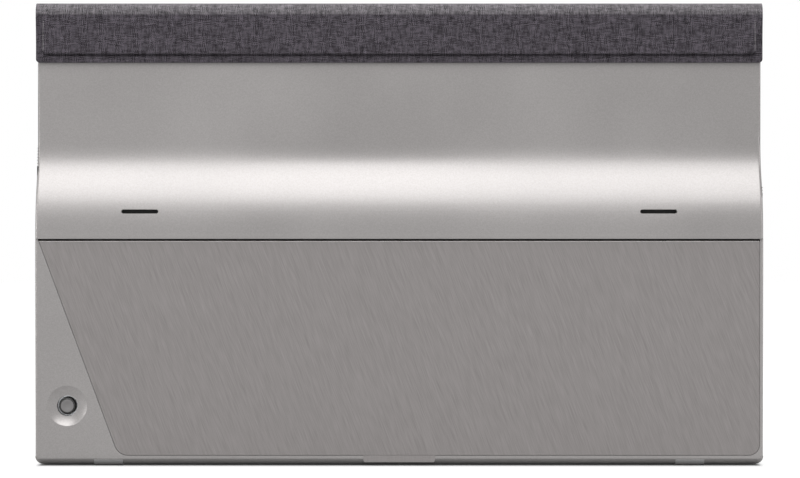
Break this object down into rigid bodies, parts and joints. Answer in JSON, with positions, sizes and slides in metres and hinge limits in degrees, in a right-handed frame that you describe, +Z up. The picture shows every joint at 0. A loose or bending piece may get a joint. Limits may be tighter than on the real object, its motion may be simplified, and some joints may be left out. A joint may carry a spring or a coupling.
{
  "type": "portable monitor with cover",
  "caption": "Slim portable monitor with a metal rear stand, an S-shaped back, a menu key in a dish, and a fabric cover that folds over the top and closes over the screen.",
  "frame": {"origin": "on the ground at the middle of the closed monitor's box, standing on its two feet", "axes": "+Z up, -Y towards the pictured rear with the stand, +Y the way the screen faces, +X to the right in the picture"},
  "size_m": [0.3562, 0.0216, 0.2263],
  "materials": {
    "silver_paint": "fine metallic satin paint on a moulding",
    "bezel_plastic": "fine textured black",
    "screen": "satin anti-glare",
    "clear_acrylic": "clear sheet",
    "led_white": "plain",
    "sheet_aluminium": "plain sheet",
    "circuit_board": "green solder mask",
    "chip_black": "moulded",
    "plated_steel": "nickel plated",
    "hinge_steel": "dark plated",
    "socket_plastic": "moulded",
    "flex_amber": "polyimide film",
    "flex_white": "film",
    "wire_red": "insulation",
    "speaker_black": "moulded",
    "gauze_black": "fine gauze",
    "foot_rubber": "matt",
    "grip_rubber": "matt",
    "magnet_nickel": "nickel plated",
    "brushed_stand": "brushed along the sloped edge",
    "stand_moulding": "fine texture",
    "tab_metal": "satin",
    "key_grey": "satin",
    "key_plastic": "moulded",
    "linen": "dark grey heather linen weave",
    "cover_board": "pressed board",
    "suede_lining": "soft microfibre"
  },
  "bodies": {
    "monitor": {"rear_housing": "silver_paint", "front_bezel": "bezel_plastic", "lcd_panel": "screen", "light_guide": "clear_acrylic", "led_strip": "led_white", "panel_tray": "sheet_aluminium", "main_board": "circuit_board", "board_chips": "chip_black", "shield_can": "plated_steel", "board_screws": "plated_steel", "usb_c_ports": "plated_steel", "mini_hdmi_port": "plated_steel", "audio_jack": "socket_plastic", "panel_ribbon": "flex_amber", "key_cable": "flex_white", "speaker_leads": "wire_red", "left_speaker": "speaker_black", "right_speaker": "speaker_black", "speaker_gauzes": "gauze_black", "key_board": "circuit_board", "joystick_switch": "plated_steel", "hinge_brackets": "hinge_steel", "hinge_pins": "plated_steel", "hinge_screws": "hinge_steel", "housing_screws": "hinge_steel", "left_foot": "foot_rubber", "right_foot": "foot_rubber", "housing_magnets": "magnet_nickel", "bezel_magnets": "magnet_nickel"},
    "stand": {"stand_plate": "brushed_stand", "stand_frame": "stand_moulding", "stand_pull_tab": "tab_metal", "stand_hinge_leaves": "hinge_steel", "leaf_screws": "hinge_steel", "stand_grips": "grip_rubber"},
    "cover_flap": {"flap_fabric": "linen", "flap_board": "cover_board", "flap_lining": "suede_lining", "flap_magnets": "magnet_nickel"},
    "cover_spine": {"spine_fabric": "linen", "spine_lining": "suede_lining"},
    "cover_panel": {"cover_fabric": "linen", "cover_board": "cover_board", "cover_lining": "suede_lining", "cover_magnets": "magnet_nickel"},
    "key_rocker": {"joystick_rocker": "key_plastic"},
    "key_stem": {"joystick_stem": "key_plastic"},
    "key_cap": {"joystick_cap": "key_grey"}
  },
  "joints": [
    {"name": "stand_hinge", "type": "hinge", "parent": "monitor", "child": "stand", "pos_m": [0, -0.00505, 0.1055], "axis": [-1, 0, 0], "range_deg": [0, 65]},
    {"name": "cover_lift", "type": "slide", "parent": "monitor", "child": "cover_flap", "axis": [0, 0, 1], "range_m": [0, 0.235]},
    {"name": "rear_crease", "type": "hinge", "parent": "cover_flap", "child": "cover_spine", "pos_m": [0, -0.00265, 0.2206], "axis": [1, 0, 0], "range_deg": [0, 120]},
    {"name": "front_crease", "type": "hinge", "parent": "cover_spine", "child": "cover_panel", "pos_m": [0, 0.01075, 0.2206], "axis": [1, 0, 0], "range_deg": [0, 175]},
    {"name": "key_side_tilt", "type": "hinge", "parent": "monitor", "child": "key_rocker", "pos_m": [-0.162, -0.00315, 0.0291], "axis": [0, 0, 1], "range_deg": [-6, 6], "stiffness_Nm_per_rad": 0.04},
    {"name": "key_up_tilt", "type": "hinge", "parent": "key_rocker", "child": "key_stem", "pos_m": [-0.162, -0.00315, 0.0291], "axis": [1, 0, 0], "range_deg": [-6, 6], "stiffness_Nm_per_rad": 0.04},
    {"name": "key_press", "type": "slide", "parent": "key_stem", "child": "key_cap", "axis": [0, 1, 0], "range_m": [0, 0.0005], "stiffness_N_per_m": 1500}
  ]
}
